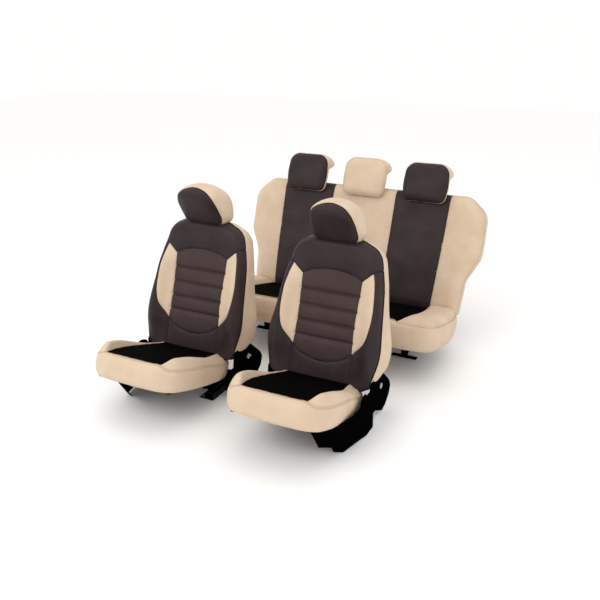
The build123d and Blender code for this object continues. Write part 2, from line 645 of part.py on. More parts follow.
def bench():
    place = Pos(0, BENCH_Y, 0)
    back = bench_back_place()
    cushion = tilted(0, BENCH_CUSHION_Z, BENCH_CUSHION_TILT)

    def keep(shape, node):
        save(place * shape, f"bench_{node}")

    keep(bench_base(), "base_frame")
    keep(hinge_pins(BENCH_PLATE_X, *bench_pivot()), "hinge_pins")
    keep(straps(cushion, (-300, 0, 300), -400, -40, BENCH_CUSHION_THICK), "cushion_straps")
    foam = bench_cushion(COVER)
    ends = (BENCH_CUSHION_FRONT, BENCH_CUSHION_REAR)
    cover = cushion_cover(bench_cushion(0), foam, BENCH_CUSHION_HALF, *ends, BENCH_CUSHION_THICK)
    keep(cushion * foam, "cushion_foam")
    keep(cushion * cover, "cushion_cover")

    head_xs = [("left", -BENCH_HEAD_X), ("centre", 0), ("right", BENCH_HEAD_X)]
    post_xs = [x + side * HEAD_SPACING for _, x in head_xs for side in (-1, 1)]
    sleeve_low = BENCH_TUBE_TOP - SLEEVE_DROP
    frame = back_frame(
        BENCH_FRAME_HALF, BENCH_FRAME_FOOT, BENCH_TUBE_TOP, BENCH_POST_DEPTH, BENCH_ARM_X, post_xs,
    )
    guides = sleeves(post_xs, BENCH_POST_DEPTH, sleeve_low, BENCH_TOP)
    arms = bench_arms()
    half, front, rear, top = BENCH_HINGE_ROOM
    hinge_x = (BENCH_PLATE_X - half, BENCH_PLATE_X + half)
    hinge_room = pair(box(hinge_x, (front, rear), (BENCH_LOW - THROUGH, top)))
    post_room = rods_z(
        post_xs, BENCH_POST_DEPTH, (BENCH_POST_TAIL - POST_BEND, BENCH_TOP + POST_BEND), POST_R + POST_ROOM,
    )
    guide_room = rods_z(post_xs, BENCH_POST_DEPTH, (sleeve_low, BENCH_TOP + POST_BEND), SLEEVE_R)
    shape = (BENCH_OUTLINE, BENCH_ROUNDING, BENCH_DEPTH, BENCH_EDGE_R)
    inner_back = backrest(shape, COVER)
    half, *hem = BENCH_HEM
    back_cover = backrest(shape, 0) - inner_back - guide_room - hinge_room
    back_cover -= box((-half, half), hem, (BENCH_LOW - THROUGH, BENCH_LOW + COVER + WELD))
    back_foam = inner_back - frame - guide_room - post_room - arms - hinge_room
    keep(back * arms, "hinge_arms")
    keep(back * frame, "backrest_frame")
    keep(back * guides, "guide_sleeves")
    keep(back * back_foam, "backrest_foam")
    keep(back * back_cover, "backrest_cover")
    keep(back * zip_strip(520, BENCH_DEPTH, 30), "backrest_zip")

    pair_xs = (-HEAD_SPACING, HEAD_SPACING)
    rods = posts(pair_xs, BENCH_POST_DEPTH, BENCH_POST_TAIL, BENCH_POST_TOP)
    cavity = post_cavity(pair_xs, BENCH_POST_DEPTH, BENCH_HEAD_LOW - THROUGH, BENCH_POST_TOP)
    core_block = bench_head_block(COVER)
    core = core_block - cavity
    skin = bench_head_block(0) - core_block - cavity
    for side, x in head_xs:
        keep(back * Pos(x, 0, 0) * rods, f"headrest_posts_{side}")
        keep(back * Pos(x, 0, 0) * core, f"headrest_core_{side}")
        keep(back * Pos(x, 0, 0) * skin, f"headrest_cover_{side}")


os.makedirs(PARTS, exist_ok=True)
front_seat("left", PAIR_X - SEAT_HALF_SPACING, -1)
front_seat("right", PAIR_X + SEAT_HALF_SPACING, 1)
bench()
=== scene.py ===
"""Looks of the seat cover set: leatherette covers on two front seats and a bench.

Every soft piece is built in the tilted frame of its backrest or cushion: p across, q along the
piece, n out of its face. A cover is a face of sewn panels, a band around it and a rear face.
"""
import math

import bmesh
import bpy
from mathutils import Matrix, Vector, geometry, noise
from mathutils.bvhtree import BVHTree
from mathutils.kdtree import KDTree


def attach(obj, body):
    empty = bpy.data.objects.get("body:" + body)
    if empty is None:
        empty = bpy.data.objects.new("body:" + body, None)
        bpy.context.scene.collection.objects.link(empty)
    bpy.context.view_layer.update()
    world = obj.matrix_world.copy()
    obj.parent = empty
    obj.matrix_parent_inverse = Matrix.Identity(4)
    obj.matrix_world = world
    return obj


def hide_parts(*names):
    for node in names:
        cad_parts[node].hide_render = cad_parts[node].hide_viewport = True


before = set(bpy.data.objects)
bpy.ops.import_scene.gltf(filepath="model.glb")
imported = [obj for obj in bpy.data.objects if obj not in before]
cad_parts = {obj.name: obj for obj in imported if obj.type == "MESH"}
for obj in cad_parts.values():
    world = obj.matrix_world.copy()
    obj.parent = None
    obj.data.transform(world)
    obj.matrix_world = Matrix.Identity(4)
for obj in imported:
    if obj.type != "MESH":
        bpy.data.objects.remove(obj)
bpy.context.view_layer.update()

# ---- layout, in metres, the same as the frame's ----
PAIR_X = -0.084
SEAT_HALF_SPACING = 0.351
FRONT_Y = -0.4164
BENCH_Y = FRONT_Y + 0.978
BACK_Z, BACK_TILT = 0.234, 17.35
CUSHION_Z, CUSHION_TILT = 0.203, 17.0
BENCH_Z, BENCH_TILT = 0.216, 20.2
BENCH_CUSHION_Z, BENCH_CUSHION_TILT = 0.226, 12.0
BENCH_HEAD_X = 0.367  # from the middle headrest to the outer ones

# ---- camera: place in metres, angles in degrees, lens in millimetres ----
CAMERA_PLACE = (PAIR_X + 1.522, FRONT_Y - 2.551, 1.672)
CAMERA_AZIMUTH = 26.42
CAMERA_DOWN = 21.33
LENS, SENSOR = 41.3, 36.0
CAMERA_REACH = 50.0

# ---- light: name, place, aim, size and watts of each lamp ----
SKY_COLOUR = (1.0, 0.99, 0.975, 1)
SKY_STRENGTH = 1.02
LAMPS = (
    ("key", (-1.6, -3.6, 3.4), (0, 0, 0.4), (3.0, 2.0), 55),
    ("fill", (3.6, -2.2, 2.4), (0, 0, 0.4), (2.4, 2.4), 14),
    ("top", (0.2, 0.4, 4.2), (0, 0.1, 0.4), (3.4, 3.4), 18),
)
FLOOR_HALF = 14.0
FLOOR_COLOUR = (0.97, 0.97, 0.97, 1)
FLOOR_ROUGHNESS = 0.9

# ---- leatherettes: dark, middle and light colour, roughness, depth of the grain ----
LEATHERETTES = {
    "dark": (
        "dark_leatherette",
        (0.0225, 0.0128, 0.0140), (0.0290, 0.0172, 0.0188), (0.0370, 0.0226, 0.0243), 0.44, 1.0,
    ),
    "centre": (
        "centre_leatherette",
        (0.0400, 0.0245, 0.0240), (0.0480, 0.0305, 0.0298), (0.0570, 0.0375, 0.0366), 0.56, 0.8,
    ),
    "beige": (
        "beige_leatherette",
        (0.590, 0.452, 0.325), (0.630, 0.490, 0.357), (0.670, 0.527, 0.390), 0.50, 1.0,
    ),
    "piping": (
        "black_piping",
        (0.006, 0.004, 0.004), (0.009, 0.0065, 0.0065), (0.013, 0.010, 0.010), 0.45, 0.6,
    ),
    "beige_piping": (
        "beige_piping",
        (0.56, 0.43, 0.31), (0.60, 0.465, 0.34), (0.64, 0.50, 0.37), 0.50, 0.6,
    ),
}
# ---- textiles: colour in the weave and on its ribs, ribs per metre, roughness ----
TEXTILES = {
    "insert": ("black_insert", (0.0010, 0.0006, 0.0006), (0.0036, 0.0024, 0.0026), 520.0, 0.95),
    "thread_dark": ("dark_thread", (0.004, 0.003, 0.003), (0.020, 0.016, 0.016), 2400.0, 0.7),
    "thread_beige": ("beige_thread", (0.50, 0.38, 0.27), (0.64, 0.50, 0.37), 2400.0, 0.7),
    "lining": ("black_lining", (0.003, 0.003, 0.003), (0.012, 0.012, 0.012), 900.0, 0.9),
    "elastic": ("elastic", (0.006, 0.006, 0.006), (0.022, 0.022, 0.022), 1100.0, 0.8),
}
# ---- hard parts: two colours, roughness, patches per metre, metallic, depth of the bumps ----
HARD_PARTS = {
    "steel": ("black_paint", (0.0010, 0.0010, 0.0011), (0.0022, 0.0022, 0.0024), 0.46, 30.0, 0.0, 0.0003),
    "rail": ("dark_zinc", (0.004, 0.004, 0.005), (0.012, 0.012, 0.013), 0.50, 24.0, 1.0, 0.0002),
    "zinc": ("zinc_pin", (0.40, 0.40, 0.41), (0.58, 0.58, 0.58), 0.34, 60.0, 1.0, 0.0002),
    "chrome": ("chrome", (0.72, 0.72, 0.74), (0.82, 0.82, 0.83), 0.12, 20.0, 1.0, 0.00005),
    "plastic": (
        "black_plastic", (0.0008, 0.0008, 0.0009), (0.0018, 0.0018, 0.0020), 0.52, 180.0, 0.0, 0.0006,
    ),
}
# ---- material of each node that keeps its own shape, by the end of its name ----
NODE_LOOKS = {
    "lower_rails": "rail", "upper_rails": "rail", "seat_frame": "steel", "pivot_pins": "zinc",
    "cushion_straps": "elastic", "side_valance": "plastic", "recliner_arms": "steel",
    "backrest_frame": "steel", "guide_sleeves": "plastic", "backrest_zip": "lining",
    "headrest_posts": "chrome", "base_frame": "steel", "hinge_pins": "zinc", "hinge_arms": "steel",
    "headrest_posts_left": "chrome", "headrest_posts_centre": "chrome", "headrest_posts_right": "chrome",
}
SIDES = (("right", 1), ("left", -1))

# ---- slots of a cover's panels ----
PANELS = ("dark", "centre", "beige", "insert", "lining")
DARK, CENTRE, BEIGE, INSERT, LINING = range(len(PANELS))

# ---- how finely the covers are made ----
CURVE_PARTS = 24  # dense points between two given points of a curve
GRID_CLEARANCE = 0.62  # share of a step that grid points keep from seams
ROW_HEIGHT = 0.866  # of an even triangular grid, for each step
SNAP = 0.012  # a seam's end this close to the outline is moved onto it
WELD = 0.0002  # points closer than this become one
UNDER_STEP = 1.5  # the closing face is coarser by this
BAND_PARTS = 5  # rows of faces between two rings of a band
BAND_END = 0.999  # beyond this share of a band its closing face begins
UNEVEN_SCALES = (13, 34)  # bumps per metre of the coarse and the fine unevenness
UNEVEN_FINE = 0.4  # share of the fine one
FRONT_UNEVEN = 0.0013  # depth of the front seats' unevenness
BENCH_UNEVEN = 0.0017

# ---- piping and stitches ----
CORD_SIDES = 8
STITCH_PITCH = 0.0062
STITCH_LENGTH = 0.0042
STITCH_RADIUS = 0.00062
STITCH_SIDES = 5
EDGE_CORD, SEAM_CORD = 0.0026, 0.0021  # radii of the front backrest's piping
HEAD_CORD, CUSHION_CORD, BENCH_CORD = 0.0022, 0.0019, 0.0022
BESIDE_CORD = 0.0042  # from a piped seam to its stitches
BESIDE_SEAM = 0.0038
BENCH_BESIDE_SEAM = 0.0044
STITCH_HEIGHTS = (0.00015, 0.00065, 0.00065, 0.00015)  # of a stitch's points over the surface


# ---------------------------------------------------------------- camera, light, floor

def add_object(name, data, location=(0, 0, 0)):
    """New object in the scene."""
    thing = bpy.data.objects.new(name, data)
    bpy.context.scene.collection.objects.link(thing)
    thing.location = location
    return thing


def make_camera():
    """Camera above and to the right of the seats, as in a catalogue picture."""
    data = bpy.data.cameras.new("camera")
    data.sensor_width = SENSOR
    data.lens = LENS
    data.clip_end = CAMERA_REACH
    camera = add_object("camera", data, CAMERA_PLACE)
    camera.rotation_euler = (math.radians(90 - CAMERA_DOWN), 0, math.radians(CAMERA_AZIMUTH))
    bpy.context.scene.camera = camera


def area_light(name, location, target, size, power):
    """White rectangular lamp that shines at the target."""
    data = bpy.data.lights.new(name, "AREA")
    data.shape = "RECTANGLE"
    data.size, data.size_y = size
    data.energy = power
    lamp = add_object(name, data, location)
    direction = Vector(target) - Vector(location)
    lamp.rotation_euler = direction.to_track_quat("-Z", "Y").to_euler()


def make_studio():
    """White surroundings, three lamps and a white floor."""
    bpy.context.scene.view_settings.view_transform = "Standard"
    world = bpy.data.worlds.new("studio")
    bpy.context.scene.world = world
    world.use_nodes = True
    background = world.node_tree.nodes["Background"]
    background.inputs["Color"].default_value = SKY_COLOUR
    background.inputs["Strength"].default_value = SKY_STRENGTH
    for lamp in LAMPS:
        area_light(*lamp)

    mesh = bpy.data.meshes.new("floor")
    corners = [(x * FLOOR_HALF, y * FLOOR_HALF, 0) for x, y in ((-1, -1), (1, -1), (1, 1), (-1, 1))]
    mesh.from_pydata(corners, [], [(0, 1, 2, 3)])
    floor = add_object("floor", mesh)
    material = bpy.data.materials.new("floor")
    material.use_nodes = True
    shader = material.node_tree.nodes["Principled BSDF"]
    shader.inputs["Base Color"].default_value = FLOOR_COLOUR
    shader.inputs["Roughness"].default_value = FLOOR_ROUGHNESS
    mesh.materials.append(material)


# ---------------------------------------------------------------- materials

class Nodes:
    """Small helper that adds and links shader nodes."""

    def __init__(self, name):
        self.material = bpy.data.materials.new(name)
        self.material.use_nodes = True
        self.tree = self.material.node_tree
        self.shader = self.tree.nodes["Principled BSDF"]
        self.place = self.add("ShaderNodeTexCoord").outputs["Object"]

    def add(self, kind, **values):
        """New node; each value goes to its property of that name, or else to its input."""
        node = self.tree.nodes.new(kind)
        for key, value in values.items():
            if hasattr(node, key):
                setattr(node, key, value)
            else:
                node.inputs[key.replace("_", " ")].default_value = value
        return node

    def link(self, output, socket):
        self.tree.links.new(output, socket)

    def drive(self, name, output):
        """The shader's input of that name follows the output."""
        self.link(output, self.shader.inputs[name])

    def noise(self, scale, detail=2.0, roughness=0.5):
        """Cloudy 0..1 value, with scale features per metre."""
        node = self.add("ShaderNodeTexNoise", Scale=scale, Detail=detail, Roughness=roughness)
        self.link(self.place, node.inputs["Vector"])
        return node.outputs["Fac"]

    def cells(self, scale):
        """Distance to the nearest of scale points per metre."""
        node = self.add("ShaderNodeTexVoronoi", Scale=scale)
        self.link(self.place, node.inputs["Vector"])
        return node.outputs["Distance"]

    def ramp(self, value, stops):
        """Colour of a 0..1 value between stops of (position, colour)."""
        node = self.add("ShaderNodeValToRGB")
        elements = node.color_ramp.elements
        while len(elements) < len(stops):
            elements.new(0.5)
        for element, (position, colour) in zip(elements, stops):
            element.position = position
            element.color = (*colour, 1)
        self.link(value, node.inputs["Fac"])
        return node.outputs["Color"]

    def span(self, value, low, high):
        """Maps a 0..1 value to low..high."""
        node = self.add("ShaderNodeMapRange")
        node.inputs["To Min"].default_value = low
        node.inputs["To Max"].default_value = high
        self.link(value, node.inputs["Value"])
        return node.outputs["Result"]

    def bump(self, value, distance, strength=1.0, base=None):
        """Normal of a surface raised by value times distance, on top of another bump if one is given."""
        node = self.add("ShaderNodeBump", Strength=strength, Distance=distance)
        self.link(value, node.inputs["Height"])
        if base:
            self.link(base, node.inputs["Normal"])
        return node.outputs["Normal"]


def leatherette(name, dark, mid, light, roughness, grain):
    """Embossed leatherette: pebble grain, faint mottling and a slight change of gloss."""
    made = Nodes(name)
    mottle = made.noise(9.0, 4.0, 0.55)
    made.drive("Base Color", made.ramp(mottle, [(0.3, dark), (0.52, mid), (0.74, light)]))
    made.drive("Roughness", made.span(made.noise(55.0, 3.0), roughness - 0.06, roughness + 0.08))
    pebble = made.bump(made.cells(430.0), 0.0006 * grain, 0.5)
    made.drive("Normal", made.bump(made.noise(160.0, 5.0, 0.62), 0.0012 * grain, 0.35, pebble))
    made.shader.inputs["Specular IOR Level"].default_value = 0.18
    return made.material


def woven(name, dark, light, scale, roughness):
    """Woven textile: two crossed ribs of thread and a colour that follows them."""
    made = Nodes(name)
    ribs = []
    for axis in ("X", "Z"):
        wave = made.add("ShaderNodeTexWave", Scale=scale, Distortion=1.2, Detail=1.0)
        wave.bands_direction = axis
        made.link(made.place, wave.inputs["Vector"])
        ribs.append(wave.outputs["Fac"])
    mix = made.add("ShaderNodeMath", operation="MULTIPLY")
    made.link(ribs[0], mix.inputs[0])
    made.link(ribs[1], mix.inputs[1])
    made.drive("Base Color", made.ramp(mix.outputs[0], [(0.0, dark), (1.0, light)]))
    made.drive("Normal", made.bump(mix.outputs[0], 0.0006, 0.6))
    made.drive("Roughness", made.span(made.noise(70.0), roughness - 0.05, roughness + 0.05))
    made.shader.inputs["Specular IOR Level"].default_value = 0.02
    return made.material


def hard(name, dark, light, roughness, scale, metallic, bump):
    """Metal, paint or plastic with a fine uneven surface and worn gloss."""
    made = Nodes(name)
    patches = made.noise(scale, 5.0, 0.6)
    made.drive("Base Color", made.ramp(patches, [(0.25, dark), (0.8, light)]))
    made.drive("Roughness", made.span(made.noise(scale * 3, 4.0), roughness - 0.07, roughness + 0.1))
    made.drive("Normal", made.bump(made.noise(scale * 12, 2.0), bump, 0.5))
    made.shader.inputs["Metallic"].default_value = metallic
    made.shader.inputs["Specular IOR Level"].default_value = 0.5 if metallic else 0.0
    return made.material


def make_materials():
    """All materials by the short names used here."""
    looks = {key: leatherette(*values) for key, values in LEATHERETTES.items()}
    looks.update({key: woven(*values) for key, values in TEXTILES.items()})
    looks.update({key: hard(*values) for key, values in HARD_PARTS.items()})
    return looks


# ---------------------------------------------------------------- curves and places

def placed(x, y, z, along, out):
    """Function from (p, q, n) to the row frame, with p across, q along and n out."""
    origin, across, along, out = Vector((x, y, z)), Vector((1, 0, 0)), Vector(along), Vector(out)
    return lambda p, q, n: origin + across * p + along * q + out * n


def tilted(x, y, z, tilt):
    """Place of a backrest or headrest: q leans back by tilt, n looks forward."""
    a = math.radians(tilt)
    return placed(x, y, z, (0, math.sin(a), math.cos(a)), (0, -math.cos(a), math.sin(a)))


def lying(x, y, z, tilt):
    """Place of a cushion: q runs to the rear and down by tilt, n looks up."""
    a = math.radians(tilt)
    return placed(x, y, z, (0, math.cos(a), -math.sin(a)), (0, math.sin(a), math.cos(a)))


def catmull_rom(a, b, c, d, t):
    """Point between b and c, at t from 0 to 1, on the curve that passes a, b, c and d."""
    square, cube = 2 * a - 5 * b + 4 * c - d, 3 * b - a - 3 * c + d
    return 0.5 * (2 * b + (c - a) * t + square * t * t + cube * t ** 3)


def smooth_line(points, step, closed=False):
    """Evenly spaced points on a Catmull-Rom curve through the given points."""
    pts = [Vector(p) for p in points]
    count = len(pts)
    dense = []
    spans = count if closed else count - 1
    for i in range(spans):
        if closed:
            a, b, c, d = (pts[(i + k) % count] for k in (-1, 0, 1, 2))
        else:
            b, c = pts[i], pts[i + 1]
            a = pts[i - 1] if i else b * 2 - c
            d = pts[i + 2] if i + 2 < count else c * 2 - b
        dense += [catmull_rom(a, b, c, d, k / CURVE_PARTS) for k in range(CURVE_PARTS)]
    dense.append(pts[0] if closed else pts[-1])
    return resample(dense, step, closed)


def resample(dense, step, closed=False):
    """Points a step apart along a dense polyline; a closed one leaves out its repeated end."""
    lengths = [0.0]
    for a, b in zip(dense, dense[1:]):
        lengths.append(lengths[-1] + (b - a).length)
    total = lengths[-1]
    count = max(2, round(total / step))
    result, j = [], 0
    for i in range(count if closed else count + 1):
        target = total * i / count
        while j < len(lengths) - 2 and lengths[j + 1] < target:
            j += 1
        span = lengths[j + 1] - lengths[j] or 1.0
        result.append(dense[j].lerp(dense[j + 1], (target - lengths[j]) / span))
    return result


def rounded(points, radii, step):
    """Evenly spaced points on a closed polygon whose corners are arcs, as a fillet makes them."""
    dense = []
    count = len(points)
    for i in range(count):
        corner = Vector(points[i])
        before = Vector(points[i - 1]) - corner
        after = Vector(points[(i + 1) % count]) - corner
        a, b = before.normalized(), after.normalized()
        angle = a.angle(b)
        radius = radii[i]
        if radius <= 0 or abs(angle - math.pi) < 1e-3:
            dense.append(corner)
            continue
        cut = min(radius / math.tan(angle / 2), 0.49 * min(before.length, after.length))
        radius = cut * math.tan(angle / 2)
        centre = corner + (a + b).normalized() * (radius / math.sin(angle / 2))
        start, end = corner + a * cut, corner + b * cut
        turns = max(4, int(math.pi * radius / step))
        first = start - centre
        sweep = signed_angle(first, end - centre)
        for k in range(turns + 1):
            t = sweep * k / turns
            dense.append(centre + Vector((
                first.x * math.cos(t) - first.y * math.sin(t), first.x * math.sin(t) + first.y * math.cos(t),
            )))
    dense.append(dense[0].copy())
    return resample(dense, step, True)


def both_sides(bottom, right, top, step):
    """Closed smooth outline through a middle point, the right side, another middle point and back."""
    return smooth_line([bottom] + right + [top] + mirror_points(reversed(right)), step, closed=True)


def signed_angle(a, b):
    """Angle from a to b, anticlockwise positive."""
    return math.atan2(a.x * b.y - a.y * b.x, a.dot(b))


def mirror_points(points):
    """The points on the other side of the middle."""
    return [(-p[0], *p[1:]) for p in points]


def smoothstep(low, high, value):
    """0 below low, 1 above high and a smooth rise between."""
    t = min(1.0, max(0.0, (value - low) / (high - low)))
    return t * t * (3 - 2 * t)


def inside(point, polygon):
    """True if the point lies in the polygon, by counting the edges to its right."""
    x, y = point
    found = False
    j = len(polygon) - 1
    for i in range(len(polygon)):
        xi, yi = polygon[i][0], polygon[i][1]
        xj, yj = polygon[j][0], polygon[j][1]
        if (yi > y) != (yj > y) and x < (xj - xi) * (y - yi) / (yj - yi) + xi:
            found = not found
        j = i
    return found


def tree_of(points):
    """Search tree of points in the plane of a piece."""
    tree = KDTree(max(1, len(points)))
    for i, p in enumerate(points):
        tree.insert((p[0], p[1], 0), i)
    tree.balance()
    return tree


def triangulated(outline, seams, step):
    """Triangles inside the outline that follow the seams, from an even triangular grid of points."""
    points = [Vector((p[0], p[1])) for p in outline]
    edges = [(i, (i + 1) % len(outline)) for i in range(len(outline))]
    for seam in seams:
        start = len(points)
        points += [Vector((p[0], p[1])) for p in seam]
        edges += [(start + i, start + i + 1) for i in range(len(seam) - 1)]
    near = tree_of(points)
    low = [min(p[k] for p in outline) for k in (0, 1)]
    high = [max(p[k] for p in outline) for k in (0, 1)]
    row, q = 0, low[1]
    while q < high[1]:
        p = low[0] + (step / 2 if row % 2 else 0)
        while p < high[0]:
            if near.find((p, q, 0))[2] > GRID_CLEARANCE * step and inside((p, q), outline):
                points.append(Vector((p, q)))
            p += step
        q += step * ROW_HEIGHT
        row += 1
    rim = [list(range(len(outline)))]
    verts, _, faces, *_ = geometry.delaunay_2d_cdt(points, edges, rim, 1, 1e-6)
    return [tuple(v) for v in verts], [list(f) for f in faces]


class Line:
    """A sampled line in the plane of a piece, which measures the distance to itself."""

    def __init__(self, points, closed=False):
        self.points = [Vector((p[0], p[1])) for p in points]
        self.closed = closed
        self.tree = tree_of(self.points)

    def distance(self, p, q):
        _, near, best = self.tree.find((p, q, 0))
        spot = Vector((p, q))
        count = len(self.points)
        for a, b in ((near - 1, near), (near, near + 1)):
            if self.closed:
                a, b = a % count, b % count
            elif a < 0 or b >= count:
                continue
            start, along = self.points[a], self.points[b] - self.points[a]
            share = (spot - start).dot(along) / max(along.length_squared, 1e-12)
            best = min(best, (start + along * min(1, max(0, share)) - spot).length)
        return best


def nearest(lines, p, q):
    """Distance to the closest of the lines."""
    return min((line.distance(p, q) for line in lines), default=1.0)


def snapped(seam, outline):
    """The seam with ends that lie close to the outline moved onto a point of the outline."""
    result = [Vector((p[0], p[1])) for p in seam]
    for end in (0, -1):
        spot = min(outline, key=lambda o: (Vector((o[0], o[1])) - result[end]).length)
        if (Vector((spot[0], spot[1])) - result[end]).length < SNAP:
            result[end] = Vector((spot[0], spot[1]))
    return result


def outward(outline, reach=2):
    """Unit normals that point out of a closed outline, over reach points to either side."""
    count = len(outline)
    found = []
    for i in range(count):
        along = Vector(outline[(i + reach) % count]) - Vector(outline[(i - reach) % count])
        found.append(Vector((along.y, -along.x)).normalized())
    area = sum(outline[i][0] * outline[(i + 1) % count][1] - outline[(i + 1) % count][0] * outline[i][1]
               for i in range(count))
    return found if area > 0 else [-n for n in found]


def through(values, t):
    """Catmull-Rom through a list of vectors, at t from 0 to len - 1."""
    i = min(int(t), len(values) - 2)
    t -= i
    b, c = values[i], values[i + 1]
    a = values[i - 1] if i else b * 2 - c
    d = values[i + 2] if i + 2 < len(values) else c * 2 - b
    return catmull_rom(a, b, c, d, t)


class Cover:
    """One sewn cover: a face of panels, a band around it and a closing face behind or below."""

    def __init__(self, name, place, outline, seams, face, rings, close, panel, band_panel, step):
        self.name, self.place, self.face = name, place, face
        self.outline = outline
        self.seams = [snapped(seam, outline) for seam in seams]
        bm = bmesh.new()

        def sheet(edge, lines, size, height, slot):
            """Triangles inside the edge at their heights, each with the material slot of its middle."""
            flat, faces = triangulated(edge, lines, size)
            verts = [bm.verts.new(place(p, q, height(p, q))) for p, q in flat]
            for corners in faces:
                p, q = (sum(flat[i][axis] for i in corners) / len(corners) for axis in (0, 1))
                bm.faces.new([verts[i] for i in corners]).material_index = slot(p, q)

        sheet(outline, self.seams, step, face, panel)
        last, grid = [], []
        for point, normal in zip(outline, outward(outline)):
            stops = [Vector((0, face(*point)))] + [Vector(ring(*point)) for ring in rings]
            parts = (len(stops) - 1) * BAND_PARTS
            row = [through(stops, k / BAND_PARTS) for k in range(parts + 1)]
            spots = [(point[0] + normal.x * r.x, point[1] + normal.y * r.x, r.y) for r in row]
            last.append(Vector(spots[-1][:2]))
            spots[-1] = (*spots[-1][:2], close(*spots[-1][:2], 0))
            grid.append([bm.verts.new(place(*spot)) for spot in spots])
        count = len(grid)
        for i in range(count):
            a, b = grid[i], grid[(i + 1) % count]
            for k in range(len(a) - 1):
                made = bm.faces.new((a[k], b[k], b[k + 1], a[k + 1]))
                made.material_index = band_panel(*outline[i], k / (len(a) - 1))

        rim = Line(last, True)
        sheet(
            last, [], step * UNDER_STEP, lambda p, q: close(p, q, rim.distance(p, q)),
            lambda p, q: band_panel(p, q, 1.0),
        )
        bmesh.ops.remove_doubles(bm, verts=bm.verts, dist=WELD)
        bmesh.ops.recalc_face_normals(bm, faces=bm.faces)
        for made in bm.faces:
            made.smooth = True
        self.mesh = bpy.data.meshes.new(name)
        bm.to_mesh(self.mesh)
        bm.free()
        self.read()

    def read(self):
        """Search tree of the mesh as it is now."""
        bm = bmesh.new()
        bm.from_mesh(self.mesh)
        self.tree = BVHTree.FromBMesh(bm)
        bm.free()

    def line(self, points):
        """The line on the finished surface: (place, surface normal) at each of its points."""
        found = []
        for p, q in ((v[0], v[1]) for v in points):
            spot, normal, _, _ = self.tree.find_nearest(self.place(p, q, self.face(p, q)))
            found.append((spot, normal))
        return found

    def settle(self, depth):
        """The slight unevenness of leatherette pulled over foam."""
        moves = []
        for v in self.mesh.vertices:
            coarse, fine = (noise.noise(v.co * scale) for scale in UNEVEN_SCALES)
            moves.append(v.normal * (depth * coarse + UNEVEN_FINE * depth * fine))
        for v, move in zip(self.mesh.vertices, moves):
            v.co += move
        self.mesh.update()
        self.read()


# ---------------------------------------------------------------- piping and stitches

def tube(bm, points, radius, sides=CORD_SIDES, closed=False, normals=None):
    """Adds a round cord through the points, turned to the normals where they are given."""
    count = len(points)
    rings = []
    side = None
    for i, point in enumerate(points):
        before = points[(i - 1) % count] if closed or i else points[i]
        after = points[(i + 1) % count] if closed or i < count - 1 else points[i]
        along = (after - before).normalized()
        if normals:
            side = along.cross(normals[i]).normalized()
        elif side is None:
            side = along.orthogonal().normalized()
        else:
            side = (side - along * side.dot(along)).normalized()
        up = side.cross(along)
        ring = []
        for k in range(sides):
            a = 2 * math.pi * k / sides
            around = side * (radius * math.cos(a)) + up * (radius * math.sin(a))
            ring.append(bm.verts.new(point + around))
        rings.append(ring)
    spans = count if closed else count - 1
    for i in range(spans):
        a, b = rings[i], rings[(i + 1) % count]
        for k in range(sides):
            bm.faces.new((a[k], a[(k + 1) % sides], b[(k + 1) % sides], b[k])).smooth = True
    if not closed:
        bm.faces.new(rings[0])
        bm.faces.new(list(reversed(rings[-1])))


def mesh_from(name, build):
    """Mesh whose geometry build(bm) makes."""
    bm = bmesh.new()
    build(bm)
    bmesh.ops.recalc_face_normals(bm, faces=bm.faces)
    mesh = bpy.data.meshes.new(name)
    bm.to_mesh(mesh)
    bm.free()
    return mesh


def add_piping(bm, cover, points, radius, lift, closed=False):
    """A cord along a line on the cover, with its middle raised by lift radii."""
    line = cover.line(points)
    centres = [spot + normal * radius * lift for spot, normal in line]
    tube(bm, centres, radius, closed=closed, normals=[normal for _, normal in line])


def add_stitches(bm, cover, points, aside):
    """A row of single stitches beside a seam, pressed a little into the surface at their ends."""
    parts = len(STITCH_HEIGHTS)
    line = cover.line(resample([Vector((p[0], p[1])) for p in points], STITCH_PITCH / parts))
    for start in range(2, len(line) - parts, parts):
        spots = []
        for k, height in enumerate(STITCH_HEIGHTS):
            spot, normal = line[start + k]
            along = (line[start + k + 1][0] - line[start + k - 1][0]).normalized()
            side = along.cross(normal)
            spots.append(spot + side * aside + normal * height)
        middle = (spots[0] + spots[-1]) / 2
        scale = STITCH_LENGTH / max((spots[-1] - spots[0]).length, 1e-6)
        tube(bm, [middle + (s - middle) * scale for s in spots], STITCH_RADIUS, sides=STITCH_SIDES)


def put(name, mesh, materials, body, location=(0, 0, 0)):
    """Object for a piece, with its materials, riding on its body."""
    if not mesh.materials:
        for material in materials:
            mesh.materials.append(material)
    piece = add_object(name, mesh, location)
    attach(piece, body)
    return piece


# ---------------------------------------------------------------- front backrest

BACK_STEP = 0.0055  # length of the cover's triangles
BACK_CORNERS = [(0.241, -0.052), (0.281, 0.110), (0.240, 0.420), (0.207, 0.566), (0.120, 0.606)]
BACK_RADII = [0.050, 0.340, 0.900, 0.090, 0.060]
CHANNELS = (0.361, 0.289, 0.218, 0.149)  # heights of the sewn channels
V_CORNER = (0.147, 0.429)  # where a beige insert meets the yoke
LOW_TIP = (0.147, 0.101)
TOP_TIP = (0.194, 0.471)
INNER_EDGE = [V_CORNER, (0.1445, 0.360), (0.142, 0.290), (0.141, 0.220), (0.1435, 0.150), LOW_TIP]
OUTER_EDGE = [
    TOP_TIP, (0.209, 0.420), (0.220, 0.350), (0.223, 0.280), (0.217, 0.215), (0.198, 0.158), LOW_TIP,
]
SHOULDER = [TOP_TIP, (0.214, 0.484), (0.2310, 0.492)]
LOWER_SEAM = [LOW_TIP, (0.1445, 0.040), (0.143, -0.048)]
YOKE_HALF = [(0.055, 0.460), (0.110, 0.448), V_CORNER]
